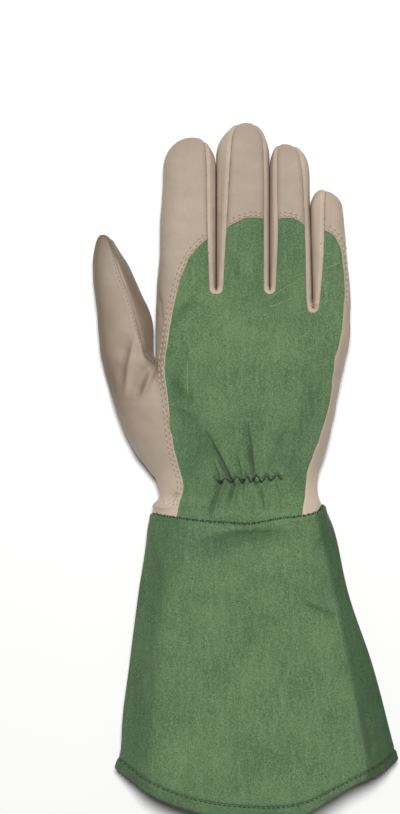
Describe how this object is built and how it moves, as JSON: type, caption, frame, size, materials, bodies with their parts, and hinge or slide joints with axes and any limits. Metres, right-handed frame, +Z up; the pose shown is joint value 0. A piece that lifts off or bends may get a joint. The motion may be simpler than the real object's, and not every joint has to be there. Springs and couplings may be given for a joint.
{
  "type": "rose pruning gauntlet",
  "caption": "Right-hand pruning gauntlet lying palm down: leather palm, thumb and fingers, gathered drill back and a long flared drill cuff.",
  "frame": {"origin": "on the surface that the glove lies on, under the middle of the palm", "axes": "+Y from the cuff towards the fingertips, +Z up through the back of the hand, +X towards the little finger"},
  "size_m": [0.1782, 0.4003, 0.0397],
  "materials": {
    "grain_leather": "pale, undyed smooth grain leather",
    "cotton_drill": "matt green cotton drill with a fine twill"
  },
  "bodies": {
    "root": {"palm": "grain_leather", "fourchette_index_middle": "grain_leather", "fourchette_middle_ring": "grain_leather", "fourchette_ring_little": "grain_leather", "middle_tip": "grain_leather", "ring_tip": "grain_leather", "little_back": "grain_leather", "thumb_back": "grain_leather", "thumb_palm": "grain_leather", "thumb_gusset": "grain_leather", "back_panel": "cotton_drill", "cuff": "cotton_drill", "cuff_hem": "cotton_drill"}
  },
  "joints": []
}
